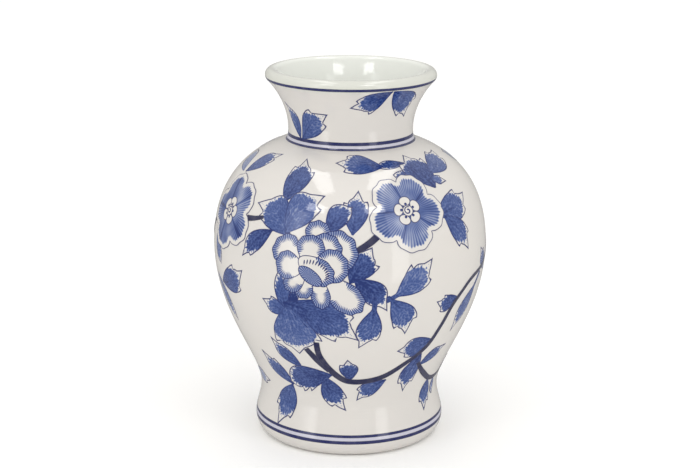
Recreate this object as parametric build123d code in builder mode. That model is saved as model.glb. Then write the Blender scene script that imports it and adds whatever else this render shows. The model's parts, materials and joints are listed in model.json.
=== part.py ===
from build123d import *
import os
from math import cos, radians, sin

os.makedirs("parts", exist_ok=True)

# A baluster vase in glazed porcelain: a turned foot ring, a floor, a body thrown in two
# halves, a flared neck luted on the shoulder, a rolled lip, and turned rings of cobalt.
# Millimetres, +Z up. The origin is the centre of the face that the foot ring rests on.

# Driving dimensions of the outside
total_height = 200.0
foot_radius = 51.4
heel_width = 6.5
heel_height = 9.0
waist_radius = 48.4
waist_height = 26.2
belly_radius = 73.7
belly_height = 105.8
joint_radius = 34.6
joint_height = 162.1
shoulder_slope = 18.0
throat_radius = 33.2
throat_height = 167.6
lip_ring_radius = 42.0
lip_bead_radius = 3.4
neck_flare = 45.0

# Driving dimensions of the inside and the foot
belly_wall = 5.5
waist_wall = 6.0
shoulder_wall = 5.0
throat_wall = 4.2
lip_inner_angle = 150.0
recess_depth = 6.0
recess_radius = 38.5
recess_draft = 1.0
recess_rounding = 1.0
floor_thickness = 7.0
floor_radius = 33.0

# Cobalt rings, as the heights of their lower and upper edges
rim_line_edges = (194.5, 196.0)
neck_lower_line_edges = (joint_height, 163.2)
neck_upper_line_edges = (164.5, 166.3)
foot_upper_line_edges = (11.3, 12.8)
foot_lower_line_edges = (7.7, 9.6)
pigment_depth = 0.35

# Sizes that follow from them
lip_centre_height = total_height - lip_bead_radius
lip_seam_height = lip_centre_height - lip_bead_radius * sin(radians(neck_flare)) - 0.4
floor_height = recess_depth + floor_thickness
section_reach = belly_radius + 5.0


def from_point(start, distance, angle):
    """The point at a distance and an angle, in degrees, from another in the section."""
    return (start[0] + distance * cos(radians(angle)), start[1] + distance * sin(radians(angle)))


def zone(low, high, inner, outer, mode):
    """Keep or cut the part of the current sketch between two heights and two radii."""
    with Locations((inner, low)):
        Rectangle(outer - inner, high - low, align=(Align.MIN, Align.MIN), mode=mode)


# The whole wall in section, on the right of the axis, drawn once and shared by every piece
heel_centre = (foot_radius - heel_width, heel_height)
heel_toe = (foot_radius - heel_width, 0)
heel_top = (foot_radius, heel_height)
joint = (joint_radius, joint_height)
throat = (throat_radius, throat_height)
waist = (waist_radius, waist_height)
belly = (belly_radius, belly_height)
lip_centre = (lip_ring_radius, lip_centre_height)
lip_outer_start = from_point(lip_centre, lip_bead_radius, neck_flare - 90)
lip_inner_end = from_point(lip_centre, lip_bead_radius, lip_inner_angle)
inner_throat = (throat_radius - throat_wall, throat_height - 4.0)
inner_shoulder = (joint_radius - 1.1, joint_height - shoulder_wall)
inner_belly = (belly_radius - belly_wall, belly_height)
inner_waist = (waist_radius - waist_wall, waist_height + 1.0)
floor_edge = (floor_radius, floor_height)

with BuildSketch(Plane.XZ) as wall_section:
    with BuildLine():
        # Outside, from the resting face to the lip
        EllipticalCenterArc(heel_centre, heel_width, heel_height, 270, arc_size=90)
        Bezier(heel_top, from_point(heel_top, 4.6, 90), from_point(waist, 6.3, 270), waist)
        Bezier(waist, from_point(waist, 17.0, 90), from_point(belly, 37.5, 270), belly)
        Bezier(belly, from_point(belly, 28.0, 90), from_point(joint, 28.0, -shoulder_slope), joint)
        Bezier(joint, from_point(joint, 2.0, 125), from_point(throat, 3.0, 270), throat)
        Bezier(
            throat,
            from_point(throat, 14.3, 90),
            from_point(lip_outer_start, 3.0, neck_flare + 180),
            lip_outer_start,
        )
        CenterArc(lip_centre, lip_bead_radius, neck_flare - 90, lip_inner_angle - neck_flare + 90)
        # Inside, from the lip down to the floor
        Bezier(
            lip_inner_end,
            from_point(lip_inner_end, 6.0, lip_inner_angle + 90),
            from_point(inner_throat, 15.0, 90),
            inner_throat,
        )
        Bezier(
            inner_throat,
            from_point(inner_throat, 3.5, 270),
            from_point(inner_shoulder, 2.5, 180 - shoulder_slope),
            inner_shoulder,
        )
        Bezier(
            inner_shoulder,
            from_point(inner_shoulder, 24.5, -shoulder_slope),
            from_point(inner_belly, 25.5, 90),
            inner_belly,
        )
        Bezier(
            inner_belly, from_point(inner_belly, 36.0, 270), from_point(inner_waist, 18.0, 90), inner_waist
        )
        Bezier(inner_waist, from_point(inner_waist, 9.0, 270), from_point(floor_edge, 6.0, 0), floor_edge)
        # The floor, the axis, and the recess inside the foot ring
        Polyline(
            floor_edge,
            (0, floor_height),
            (0, recess_depth),
            (recess_radius, recess_depth),
            (recess_radius + recess_draft, 0),
            heel_toe,
        )
    make_face()
    recess_corners = wall_section.vertices().filter_by_position(
        Axis.X, recess_radius, recess_radius + recess_draft
    )
    fillet(recess_corners, recess_rounding)

painted_rings = {
    "rim_line": (rim_line_edges, lip_ring_radius + 2.3),
    "neck_line_upper": (neck_upper_line_edges, throat_radius - pigment_depth),
    "neck_tint": ((neck_lower_line_edges[1], neck_upper_line_edges[0]), throat_radius - pigment_depth),
    "neck_line_lower": (neck_lower_line_edges, throat_radius),
    "foot_line_upper": (foot_upper_line_edges, foot_radius - 2 * pigment_depth),
    "foot_tint": ((foot_lower_line_edges[1], foot_upper_line_edges[0]), foot_radius - 2 * pigment_depth),
    "foot_line_lower": (foot_lower_line_edges, foot_radius - 2 * pigment_depth),
}


def cut_painted_rings(*names):
    """Cut the seats of the named rings out of the current sketch."""
    for name in names:
        (low, high), inner = painted_rings[name]
        zone(low, high, inner, section_reach, Mode.SUBTRACT)


# Foot ring: the turned ring that the vase stands on, ground bare where it rests
with BuildPart() as foot_ring:
    with BuildSketch(Plane.XZ):
        add(wall_section.sketch_local)
        zone(0, recess_depth, recess_radius - recess_rounding, section_reach, Mode.INTERSECT)
    revolve(axis=Axis.Z)
foot_ring.part.label = "foot_ring"
export_step(foot_ring.part, "parts/foot_ring.step")

# Base floor: the disc that closes the body above the recess
with BuildPart() as base_floor:
    with BuildSketch(Plane.XZ):
        add(wall_section.sketch_local)
        zone(recess_depth, floor_height, 0, floor_radius, Mode.INTERSECT)
    revolve(axis=Axis.Z)
base_floor.part.label = "base_floor"
export_step(base_floor.part, "parts/base_floor.step")

# Lower body: heel, waist and rising side, up to the seam at the widest point
with BuildPart() as lower_body:
    with BuildSketch(Plane.XZ):
        add(wall_section.sketch_local)
        zone(recess_depth, belly_height, floor_radius, section_reach, Mode.INTERSECT)
        cut_painted_rings("foot_line_lower", "foot_tint", "foot_line_upper")
    revolve(axis=Axis.Z)
lower_body.part.label = "lower_body"
export_step(lower_body.part, "parts/lower_body.step")

# Upper body: from the seam at the widest point over the shoulder to the foot of the neck
with BuildPart() as upper_body:
    with BuildSketch(Plane.XZ):
        add(wall_section.sketch_local)
        zone(belly_height, joint_height, 0, section_reach, Mode.INTERSECT)
    revolve(axis=Axis.Z)
upper_body.part.label = "upper_body"
export_step(upper_body.part, "parts/upper_body.step")

# Neck: the flared tube luted on the shoulder
with BuildPart() as neck:
    with BuildSketch(Plane.XZ):
        add(wall_section.sketch_local)
        zone(joint_height, lip_seam_height, 0, section_reach, Mode.INTERSECT)
        cut_painted_rings("neck_line_lower", "neck_tint", "neck_line_upper")
    revolve(axis=Axis.Z)
neck.part.label = "neck"
export_step(neck.part, "parts/neck.step")

# Lip: the rolled bead round the mouth
with BuildPart() as lip:
    with BuildSketch(Plane.XZ):
        add(wall_section.sketch_local)
        zone(lip_seam_height, total_height, 0, section_reach, Mode.INTERSECT)
        cut_painted_rings("rim_line")
    revolve(axis=Axis.Z)
lip.part.label = "lip"
export_step(lip.part, "parts/lip.step")

# Cobalt rings: two bordered tints and a single line, flush with the surface round them
for name, ((low, high), inner) in painted_rings.items():
    with BuildPart() as painted_ring:
        with BuildSketch(Plane.XZ):
            add(wall_section.sketch_local)
            zone(low, high, inner, section_reach, Mode.INTERSECT)
        revolve(axis=Axis.Z)
    painted_ring.part.label = name
    export_step(painted_ring.part, f"parts/{name}.step")
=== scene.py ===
import json
import math
from bisect import bisect_left
from collections import Counter

import bpy
from mathutils import Matrix, Vector, geometry, kdtree, noise


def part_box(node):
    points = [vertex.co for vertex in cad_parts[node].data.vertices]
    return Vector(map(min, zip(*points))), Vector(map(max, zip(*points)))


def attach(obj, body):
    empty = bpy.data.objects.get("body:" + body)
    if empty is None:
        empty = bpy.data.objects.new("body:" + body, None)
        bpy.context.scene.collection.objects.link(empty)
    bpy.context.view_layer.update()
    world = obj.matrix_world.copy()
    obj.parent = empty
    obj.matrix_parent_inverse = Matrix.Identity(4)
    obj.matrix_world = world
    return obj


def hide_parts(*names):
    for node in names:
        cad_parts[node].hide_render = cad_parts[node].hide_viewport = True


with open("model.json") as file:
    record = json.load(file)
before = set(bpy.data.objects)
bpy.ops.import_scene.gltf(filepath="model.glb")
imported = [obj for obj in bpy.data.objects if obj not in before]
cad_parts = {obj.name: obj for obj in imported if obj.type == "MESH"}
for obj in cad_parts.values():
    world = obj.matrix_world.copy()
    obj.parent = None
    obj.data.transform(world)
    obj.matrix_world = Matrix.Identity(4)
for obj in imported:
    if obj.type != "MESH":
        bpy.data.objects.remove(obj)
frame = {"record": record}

bl_info = {
    "name": "Porcelain Vase",
    "version": (1, 0, 0),
    "blender": (4, 5, 0),
    "location": "View3D > Sidebar > Vase",
    "description": "Glazed baluster vase with cobalt flowers, leaves and turned lines",
    "category": "Object",
}

MM = 0.001
SPRAY_SIDES = {"front": 0.0, "back": 180.0}


def top(node):
    """Height of the top of a CAD piece, in millimetres."""
    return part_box(node)[1].z / MM


def bottom(node):
    """Height of the underside of a CAD piece, in millimetres."""
    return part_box(node)[0].z / MM


def reach(node):
    """Greatest radius of a CAD piece, in millimetres."""
    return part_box(node)[1].x / MM


# ---------------------------------------------------------------------------
# Settings
# ---------------------------------------------------------------------------


def linear(hex_colour):
    """A hex sRGB colour as linear RGBA."""
    values = [int(hex_colour[i : i + 2], 16) / 255 for i in (1, 3, 5)]
    return [v / 12.92 if v <= 0.04045 else ((v + 0.055) / 1.055) ** 2.4 for v in values] + [1.0]


def hue(name, hex_colour, description):
    """A colour property with a hex default."""
    return bpy.props.FloatVectorProperty(
        name=name,
        description=description,
        default=linear(hex_colour),
        size=4,
        min=0.0,
        max=1.0,
        subtype="COLOR",
    )


def length(name, millimetres, description):
    """A length property with a default in millimetres."""
    return bpy.props.FloatProperty(
        name=name,
        description=description,
        default=millimetres * MM,
        min=0.0,
        precision=5,
        subtype="DISTANCE",
        unit="LENGTH",
    )


class VaseWall(bpy.types.PropertyGroup):
    """Sizes of the thrown wall that no CAD box states."""

    waist_radius: length("Waist Radius", 48.4, "Radius of the narrowest place above the foot")
    waist_height: length("Waist Height", 26.2, "Height of the narrowest place above the foot")
    throat_radius: length("Throat Radius", 33.2, "Outer radius of the narrowest place of the neck")
    throat_height: length("Throat Height", 167.6, "Height of the narrowest place of the neck")
    lip_bead: length("Lip Bead", 3.4, "Radius of the rolled lip in section")
    heel_height: length("Heel Height", 9.0, "Height where the heel turns in under the foot")
    heel_width: length("Heel Width", 6.5, "How far the heel turns in under the foot")
    paint_room: length("Paint Room", 0.34, "How much the belly is drawn in to make room for the paint")
    row_spacing: length("Row Spacing", 1.5, "Distance between rows of faces along the wall")
    segments: bpy.props.IntProperty(
        name="Segments", description="Faces round the vase", default=256, min=24, max=512
    )


class CobaltPaint(bpy.types.PropertyGroup):
    """Colours and thickness of the painted decoration."""

    porcelain: hue("Porcelain", "#D6D2CD", "Warm white of the body seen through clear glaze")
    # Painted light: a whiter colour laid on the walls that face inwards, to lighten the shaded inside of the
    # vase
    painted_light_inside: hue("Painted Light Inside", "#E6E8E2", "Whiter glaze that lines the inside")
    pale_wash: hue("Pale Wash", "#A6B5DE", "What a thin cobalt wash does to the white")
    middle_wash: hue("Middle Wash", "#546EB4", "What a middle cobalt wash does to the white")
    full_wash: hue("Full Wash", "#1B3580", "What a full cobalt wash does to the white")
    outline_ink: hue("Outline Ink", "#18235F", "Thin drawn outlines")
    branch_ink: hue("Branch Ink", "#0F1440", "Blue-black of lines and branches")
    wheel_ink: hue("Wheel Ink", "#151E55", "Blue of the lines turned on the wheel")
    tint: hue("Tint", "#C1C0CF", "Pale lavender between paired lines")
    lift: length("Lift", 0.04, "How far the lowest paint stands above the wall")
    layer: length("Layer", 0.012, "How far each brush mark stands above the one before")
    bury: length("Bury", 0.20, "How far the paint reaches into the wall")


class StudioSettings(bpy.types.PropertyGroup):
    """Camera, lights and floor."""

    camera_distance: length("Camera Distance", 868.0, "Level distance from the axis to the camera")
    camera_height: length("Camera Height", 340.0, "Height of the camera above the floor")
    camera_pitch: bpy.props.FloatProperty(
        name="Camera Pitch",
        description="How far the camera looks down",
        default=math.radians(14.9),
        subtype="ANGLE",
    )
    camera_roll: bpy.props.FloatProperty(
        name="Camera Roll",
        description="How far the camera leans over",
        default=math.radians(0.35),
        subtype="ANGLE",
    )
    focal_length: bpy.props.FloatProperty(
        name="Focal Length", description="Lens, in millimetres", default=85.3, min=10.0
    )
    floor_colour: hue("Floor", "#FFFFFF", "Pale seamless floor")
    dome_strength: bpy.props.FloatProperty(
        name="Dome Strength", description="Strength of the light from all round the horizon", default=0.54
    )
    zenith_strength: bpy.props.FloatProperty(
        name="Zenith Strength", description="Strength of the light from straight above", default=1.36
    )
    softbox_power: bpy.props.FloatProperty(
        name="Softbox Power", description="Power of each overhead softbox", default=2.0, unit="POWER"
    )
    front_power: bpy.props.FloatProperty(
        name="Front Box Power", description="Power of each box high in front", default=1.4, unit="POWER"
    )
    card_power: bpy.props.FloatProperty(
        name="Card Power", description="Power of each side card", default=3.4, unit="POWER"
    )
    window_glow: bpy.props.FloatProperty(
        name="Window Glow", description="Power per square metre of the tall windows mirrored in the glaze",
        default=5.5, min=0.0,
    )


# ---------------------------------------------------------------------------
# The wall in section, in millimetres, as (radius, height)
# ---------------------------------------------------------------------------


def from_point(start, distance, angle):
    """The point at a distance and an angle, in degrees, from another."""
    turn = math.radians(angle)
    return (start[0] + distance * math.cos(turn), start[1] + distance * math.sin(turn))


def bezier(a, b, c, d, spacing):
    """Points along a Bezier curve, about a spacing apart, without the first one."""
    count = max(4, round(math.dist(a, b) + math.dist(b, c) + math.dist(c, d)) / spacing)
    ends = [Vector((p[0], p[1], 0)) for p in (a, b, c, d)]
    return [(p.x, p.y) for p in geometry.interpolate_bezier(*ends, int(count) + 1)][1:]


def arc(centre, radius_x, radius_y, start, end, steps):
    """Points along an elliptical arc, angles in degrees, with both ends."""
    angles = [math.radians(start + (end - start) * i / steps) for i in range(steps + 1)]
    return [(centre[0] + radius_x * math.cos(a), centre[1] + radius_y * math.sin(a)) for a in angles]


def wall_outline():
    """The outside from the toe of the foot to the lip's top, and the inside from there to the floor."""
    wall = bpy.context.scene.vase_wall
    spacing = wall.row_spacing / MM
    heel_width, heel_height, bead = wall.heel_width / MM, wall.heel_height / MM, wall.lip_bead / MM
    foot = reach("foot_line_lower")
    heel_top = (foot, heel_height)
    waist = (wall.waist_radius / MM, wall.waist_height / MM)
    belly = (reach("upper_body") - wall.paint_room / MM, bottom("upper_body"))
    joint = (reach("neck_line_lower"), top("upper_body"))
    throat = (wall.throat_radius / MM, wall.throat_height / MM)
    lip_centre = (reach("lip") - bead, top("lip") - bead)
    lip_start = from_point(lip_centre, bead, -45)
    lip_end = from_point(lip_centre, bead, 150)
    inner_throat = (throat[0] - 4.2, throat[1] - 4.0)
    inner_shoulder = (joint[0] - 1.1, joint[1] - 5.0)
    inner_belly = (belly[0] - 5.5, belly[1])
    inner_waist = (waist[0] - 6.0, waist[1] + 1.0)
    floor_edge = (reach("base_floor"), top("base_floor"))

    outside = arc((foot - heel_width, heel_height), heel_width, heel_height, 270, 360, 14)
    outside += bezier(heel_top, from_point(heel_top, 4.6, 90), from_point(waist, 6.3, 270), waist, spacing)
    outside += bezier(waist, from_point(waist, 17, 90), from_point(belly, 37.5, 270), belly, spacing)
    outside += bezier(belly, from_point(belly, 28, 90), from_point(joint, 28, -18), joint, spacing)
    outside += bezier(joint, from_point(joint, 2, 125), from_point(throat, 3, 270), throat, spacing / 3)
    outside += bezier(
        throat, from_point(throat, 14.3, 90), from_point(lip_start, 3, 225), lip_start, spacing
    )
    outside += arc(lip_centre, bead, bead, -45, 90, 18)[1:]

    inside = arc(lip_centre, bead, bead, 90, 150, 8)
    inside += bezier(
        lip_end, from_point(lip_end, 6, 240), from_point(inner_throat, 15, 90), inner_throat, spacing
    )
    inside += bezier(
        inner_throat,
        from_point(inner_throat, 3.5, 270),
        from_point(inner_shoulder, 2.5, 162),
        inner_shoulder,
        spacing / 2,
    )
    inside += bezier(
        inner_shoulder,
        from_point(inner_shoulder, 24.5, -18),
        from_point(inner_belly, 25.5, 90),
        inner_belly,
        spacing,
    )
    inside += bezier(
        inner_belly, from_point(inner_belly, 36, 270), from_point(inner_waist, 18, 90), inner_waist, spacing
    )
    inside += bezier(
        inner_waist, from_point(inner_waist, 9, 270), from_point(floor_edge, 6, 0), floor_edge, spacing / 2
    )
    return outside, inside


def between(points, low, high):
    """The stretch of a rising or falling run of points between two heights, ends included."""
    kept = []
    for (r0, z0), (r1, z1) in zip(points, points[1:]):
        crossed = [z for z in (low, high) if min(z0, z1) < z < max(z0, z1)]
        cuts = sorted({0.0, 1.0} | {(z - z0) / (z1 - z0) for z in crossed})
        for share in cuts:
            spot = (r0 + (r1 - r0) * share, z0 + (z1 - z0) * share)
            inside_band = low - 1e-6 <= spot[1] <= high + 1e-6
            if inside_band and (not kept or math.dist(kept[-1], spot) > 1e-4):
                kept.append(spot)
    return kept


def foot_recess():
    """The recess inside the foot ring, from its ceiling down to the resting face."""
    ceiling = top("foot_ring")
    inner = 38.5
    draft = 1.0
    rounding = 1.0
    upper = arc((inner - rounding, ceiling - rounding), rounding, rounding, 90, 0, 5)
    lower = arc((inner + draft + rounding, rounding), rounding, rounding, 180, 270, 5)
    return upper + lower


class WallMap:
    """Distances up the outside of the wall, the radius at each, and the wall's own directions."""

    def __init__(self):
        self.outside, self.inside = wall_outline()
        self.distance = [0.0]
        for here, there in zip(self.outside, self.outside[1:]):
            self.distance.append(self.distance[-1] + math.dist(here, there))
        ceiling = top("foot_ring")
        underside = [(r, ceiling) for r in range(0, 38, 2)]
        floor = [(r, top("base_floor")) for r in range(int(reach("base_floor")), -1, -2)]
        runs = (self.outside, self.inside + floor, underside, foot_recess())
        samples = []
        for run in runs:
            for i, spot in enumerate(run):
                before, after = run[max(i - 1, 0)], run[min(i + 1, len(run) - 1)]
                along = (after[0] - before[0], after[1] - before[1])
                size = math.hypot(*along)
                samples.append((spot, (along[1] / size, -along[0] / size)))
        self.facings = [facing for _, facing in samples]
        self.tree = kdtree.KDTree(len(samples))
        for i, (spot, _) in enumerate(samples):
            self.tree.insert((spot[0], spot[1], 0), i)
        self.tree.balance()

    def radius(self, climb):
        """Radius of the outside at a distance up the wall from the toe of the foot."""
        climb = min(max(climb, 1e-6), self.distance[-1])
        i = bisect_left(self.distance, climb) - 1
        share = (climb - self.distance[i]) / (self.distance[i + 1] - self.distance[i])
        return self.outside[i][0] + (self.outside[i + 1][0] - self.outside[i][0]) * share

    def climb_to(self, height):
        """Distance up the wall at which the outside reaches a height."""
        for i, (here, there) in enumerate(zip(self.outside, self.outside[1:])):
            if here[1] <= height <= there[1]:
                return self.distance[i] + math.dist(here, there) * (height - here[1]) / (there[1] - here[1])
        raise ValueError(f"the wall never reaches {height} mm")

    def facing(self, place):
        """The wall's outward direction at the place of its outline nearest to a point in space."""
        across = math.hypot(place.x, place.y)
        r, z = self.facings[self.tree.find((across / MM, place.z / MM, 0))[1]]
        if across < 1e-7:
            return Vector((0, 0, math.copysign(1, z)))
        return Vector((r * place.x / across, r * place.y / across, z))


# ---------------------------------------------------------------------------
# Node trees
# ---------------------------------------------------------------------------


MATH = "ShaderNodeMath"
VECTOR = "ShaderNodeVectorMath"
RANGE = "ShaderNodeMapRange"
MIX = "ShaderNodeMix"
NOISE = "ShaderNodeTexNoise"
SOFT = {"interpolation_type": "SMOOTHSTEP"}
COLOUR = {"data_type": "RGBA"}
PLUS = {"operation": "ADD"}
MINUS = {"operation": "SUBTRACT"}
TIMES = {"operation": "MULTIPLY"}
TIMES_PLUS = {"operation": "MULTIPLY_ADD"}


def add(tree, kind, settings=None, inputs=None):
    """Add a node, set its settings, and fill its inputs with values or links."""
    node = tree.nodes.new(kind)
    for name, value in (settings or {}).items():
        setattr(node, name, value)
    for key, value in (inputs or {}).items():
        if isinstance(value, bpy.types.NodeSocket):
            tree.links.new(value, node.inputs[key])
        else:
            node.inputs[key].default_value = value
    return node


def new_geometry_tree(name, sockets):
    """An empty geometry tree with a geometry in and out and the named inputs."""
    tree = bpy.data.node_groups.new(name, "GeometryNodeTree")
    tree.interface.new_socket("Geometry", in_out="INPUT", socket_type="NodeSocketGeometry")
    for label, kind in sockets.items():
        tree.interface.new_socket(label, in_out="INPUT", socket_type=kind)
    tree.interface.new_socket("Geometry", in_out="OUTPUT", socket_type="NodeSocketGeometry")
    return tree


def finish_tree(tree, geometry_out, material):
    """Realize what the tree made, give it its material, and pass it out."""
    real = add(tree, "GeometryNodeRealizeInstances", inputs={"Geometry": geometry_out})
    painted = add(
        tree, "GeometryNodeSetMaterial", inputs={"Geometry": real.outputs[0], "Material": material}
    )
    add(tree, "NodeGroupOutput", inputs={"Geometry": painted.outputs[0]})


def wheel_tree():
    """Turn a closed section, given as a line of points, into a body of revolution round Z."""
    sockets = {"Segments": "NodeSocketInt", "Material": "NodeSocketMaterial"}
    tree = new_geometry_tree("Throwing wheel", sockets)
    source = add(tree, "NodeGroupInput").outputs
    section = source["Geometry"]
    size = add(tree, "GeometryNodeAttributeDomainSize", {"component": "MESH"}, {"Geometry": section})
    count = size.outputs["Point Count"]
    rows = add(tree, MATH, PLUS, {0: count, 1: 1.0}).outputs[0]
    columns = add(tree, MATH, PLUS, {0: source["Segments"], 1: 1.0}).outputs[0]
    grid = add(tree, "GeometryNodeMeshGrid", inputs={"Vertices X": rows, "Vertices Y": columns})
    index = add(tree, "GeometryNodeInputIndex").outputs[0]
    ratio = add(tree, MATH, {"operation": "DIVIDE"}, {0: index, 1: columns}).outputs[0]
    row = add(tree, MATH, {"operation": "FLOOR"}, {0: ratio}).outputs[0]
    wrapped = add(tree, MATH, {"operation": "FLOORED_MODULO"}, {0: row, 1: count}).outputs[0]
    column = add(tree, MATH, {"operation": "FLOORED_MODULO"}, {0: index, 1: columns}).outputs[0]
    share = add(tree, MATH, {"operation": "DIVIDE"}, {0: column, 1: source["Segments"]}).outputs[0]
    angle = add(tree, MATH, TIMES, {0: share, 1: math.tau}).outputs[0]
    spot = add(
        tree,
        "GeometryNodeSampleIndex",
        {"data_type": "FLOAT_VECTOR", "domain": "POINT"},
        {"Geometry": section, "Index": wrapped},
    )
    tree.links.new(add(tree, "GeometryNodeInputPosition").outputs[0], spot.inputs["Value"])
    turned = add(
        tree,
        "ShaderNodeVectorRotate",
        {"rotation_type": "Z_AXIS"},
        {"Vector": spot.outputs[0], "Angle": angle},
    ).outputs[0]
    placed = add(
        tree, "GeometryNodeSetPosition", inputs={"Geometry": grid.outputs["Mesh"], "Position": turned}
    )
    closed = add(
        tree, "GeometryNodeMergeByDistance", inputs={"Geometry": placed.outputs[0], "Distance": 0.002 * MM}
    )
    smooth = add(tree, "GeometryNodeSetShadeSmooth", inputs={"Geometry": closed.outputs[0]})
    finish_tree(tree, smooth.outputs[0], source["Material"])
    return tree


def wrapping_tree():
    """Lay flat artwork on the wall: X is the angle, Y the distance up the wall, Z the lift from it."""
    sockets = {"Outline": "NodeSocketObject", "Material": "NodeSocketMaterial"}
    tree = new_geometry_tree("Painting on the wall", sockets)
    source = add(tree, "NodeGroupInput").outputs
    place = add(tree, "GeometryNodeInputPosition").outputs[0]
    flat = add(tree, "ShaderNodeSeparateXYZ", inputs={0: place}).outputs
    outline = add(tree, "GeometryNodeObjectInfo", inputs={"Object": source["Outline"]})
    foot = add(
        tree,
        "GeometryNodeSampleCurve",
        {"mode": "LENGTH", "use_all_curves": True},
        {"Curves": outline.outputs["Geometry"], "Length": flat["Y"]},
    ).outputs
    out = add(
        tree,
        VECTOR,
        {"operation": "CROSS_PRODUCT"},
        {0: (0.0, 1.0, 0.0), 1: foot["Tangent"]},
    ).outputs[0]
    lift = add(tree, VECTOR, {"operation": "SCALE"}, {0: out, "Scale": flat["Z"]}).outputs[0]
    raised = add(tree, VECTOR, PLUS, {0: foot["Position"], 1: lift}).outputs[0]
    turned = add(
        tree,
        "ShaderNodeVectorRotate",
        {"rotation_type": "Z_AXIS"},
        {"Vector": raised, "Angle": flat["X"]},
    ).outputs[0]
    placed = add(
        tree, "GeometryNodeSetPosition", inputs={"Geometry": source["Geometry"], "Position": turned}
    )
    smooth = add(tree, "GeometryNodeSetShadeSmooth", inputs={"Geometry": placed.outputs[0]})
    finish_tree(tree, smooth.outputs[0], source["Material"])
    return tree


def made_by_tree(name, mesh, tree, values):
    """Run a geometry tree on a mesh and return its result as a plain object."""
    carrier = bpy.data.objects.new(name, mesh)
    bpy.context.scene.collection.objects.link(carrier)
    modifier = carrier.modifiers.new("Making", "NODES")
    modifier.node_group = tree
    for item in tree.interface.items_tree:
        if item.in_out == "INPUT" and item.name in values:
            modifier[item.identifier] = values[item.name]
    bpy.context.view_layer.update()
    evaluated = carrier.evaluated_get(bpy.context.evaluated_depsgraph_get())
    result = bpy.data.meshes.new_from_object(evaluated)
    carrier.modifiers.remove(modifier)
    bpy.data.objects.remove(carrier)
    bpy.data.meshes.remove(mesh)
    result.name = name
    return result


def shade_like_wall(mesh, wall):
    """Give each face that follows the wall the wall's own direction, so that joints don't show."""
    facings = [wall.facing(vertex.co) for vertex in mesh.vertices]
    normals = [Vector()] * len(mesh.loops)
    for face in mesh.polygons:
        own = face.normal.copy()
        for i in face.loop_indices:
            ideal = facings[mesh.loops[i].vertex_index]
            normals[i] = ideal if ideal.dot(own) > 0.8 else own
    mesh.normals_split_custom_set(normals)


def deliver(name, mesh, slot, *replaced):
    """Put a finished mesh in the scene as a piece that rides on the vase."""
    piece = bpy.data.objects.new(name, mesh)
    bpy.context.scene.collection.objects.link(piece)
    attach(piece, "root")
    if replaced:
        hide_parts(*replaced)
    return piece


# ---------------------------------------------------------------------------
# Materials
# ---------------------------------------------------------------------------


def new_material(name):
    """An empty node material and its tree."""
    material = bpy.data.materials.new(name)
    material.use_nodes = True
    material.node_tree.nodes.clear()
    return material, material.node_tree


def places(tree):
    """Object coordinates in millimetres."""
    spot = add(tree, "ShaderNodeTexCoord").outputs["Object"]
    return add(tree, VECTOR, {"operation": "SCALE"}, {0: spot, "Scale": 1 / MM}).outputs[0]


def porcelain_colour(tree, spot):
    """Bone-warm white with a cloudiness some 30 mm across and rare iron specks under 0.5 mm."""
    paint = bpy.context.scene.cobalt_paint
    cloud = add(tree, NOISE, inputs={"Vector": spot, "Scale": 1 / 30, "Detail": 2.0}).outputs[0]
    cool = add(
        tree, RANGE, inputs={"Value": cloud, "From Min": 0.3, "From Max": 0.7, "To Max": 0.05}
    ).outputs[0]
    clouded = add(
        tree,
        MIX,
        COLOUR,
        {"Factor": cool, "A": list(paint.porcelain), "B": linear("#B9C0CC")},
    ).outputs["Result"]
    cells = add(tree, "ShaderNodeTexVoronoi", inputs={"Vector": spot, "Scale": 1 / 7}).outputs
    speck = add(
        tree,
        RANGE,
        SOFT,
        {"Value": cells["Distance"], "From Min": 0.022, "From Max": 0.045, "To Min": 0.22, "To Max": 0.0},
    ).outputs[0]
    chance = add(tree, "ShaderNodeSeparateColor", inputs={0: cells["Color"]}).outputs[0]
    rare = add(tree, MATH, {"operation": "GREATER_THAN"}, {0: chance, 1: 0.93}).outputs[0]
    shown = add(tree, MATH, TIMES, {0: speck, 1: rare}).outputs[0]
    return add(
        tree,
        MIX,
        COLOUR,
        {"Factor": shown, "A": clouded, "B": linear("#7A6A5C")},
    ).outputs["Result"]


def glaze(tree, colour, spot, roughness=0.07):
    """Clear feldspar glaze, IOR 1.5, with reflections that waver where it pooled over throwing marks."""
    ripple = add(
        tree, NOISE, inputs={"Vector": spot, "Scale": 1 / 14, "Detail": 1.5, "Roughness": 0.4}
    ).outputs[0]
    bump = add(
        tree, "ShaderNodeBump", inputs={"Height": ripple, "Strength": 0.2, "Distance": 0.1 * MM}
    ).outputs[0]
    surface = add(
        tree,
        "ShaderNodeBsdfPrincipled",
        inputs={"Base Color": colour, "Roughness": roughness, "IOR": 1.5, "Normal": bump},
    )
    add(tree, "ShaderNodeOutputMaterial", inputs={"Surface": surface.outputs[0]})
    return surface


def washed(tree, white, depth):
    """Porcelain seen through a cobalt wash: a depth of 0 leaves it white and 1 is full blue."""
    paint = bpy.context.scene.cobalt_paint
    ramp = add(tree, "ShaderNodeValToRGB", inputs={"Fac": depth})
    stops = ramp.color_ramp.elements
    stops[0].position = 0.0
    stops[0].color = (1, 1, 1, 1)
    stops[1].position = 1.0
    stops[1].color = paint.full_wash
    for position, colour in ((0.3, paint.pale_wash), (0.6, paint.middle_wash)):
        stops.new(position).color = colour
    return add(
        tree,
        MIX,
        {"data_type": "RGBA", "blend_type": "MULTIPLY"},
        {"Factor": 1.0, "A": white, "B": ramp.outputs[0]},
    ).outputs["Result"]


def outlined(tree, colour, edge, width, strength):
    """Draw the brush outline over a colour, where the distance to the edge is under a width in mm."""
    paint = bpy.context.scene.cobalt_paint
    line = add(
        tree,
        RANGE,
        SOFT,
        {"Value": edge, "From Min": width * 0.7, "From Max": width * 1.3, "To Min": strength, "To Max": 0.0},
    ).outputs[0]
    return add(
        tree,
        MIX,
        COLOUR,
        {"Factor": line, "A": colour, "B": list(paint.outline_ink)},
    ).outputs["Result"]


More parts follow.
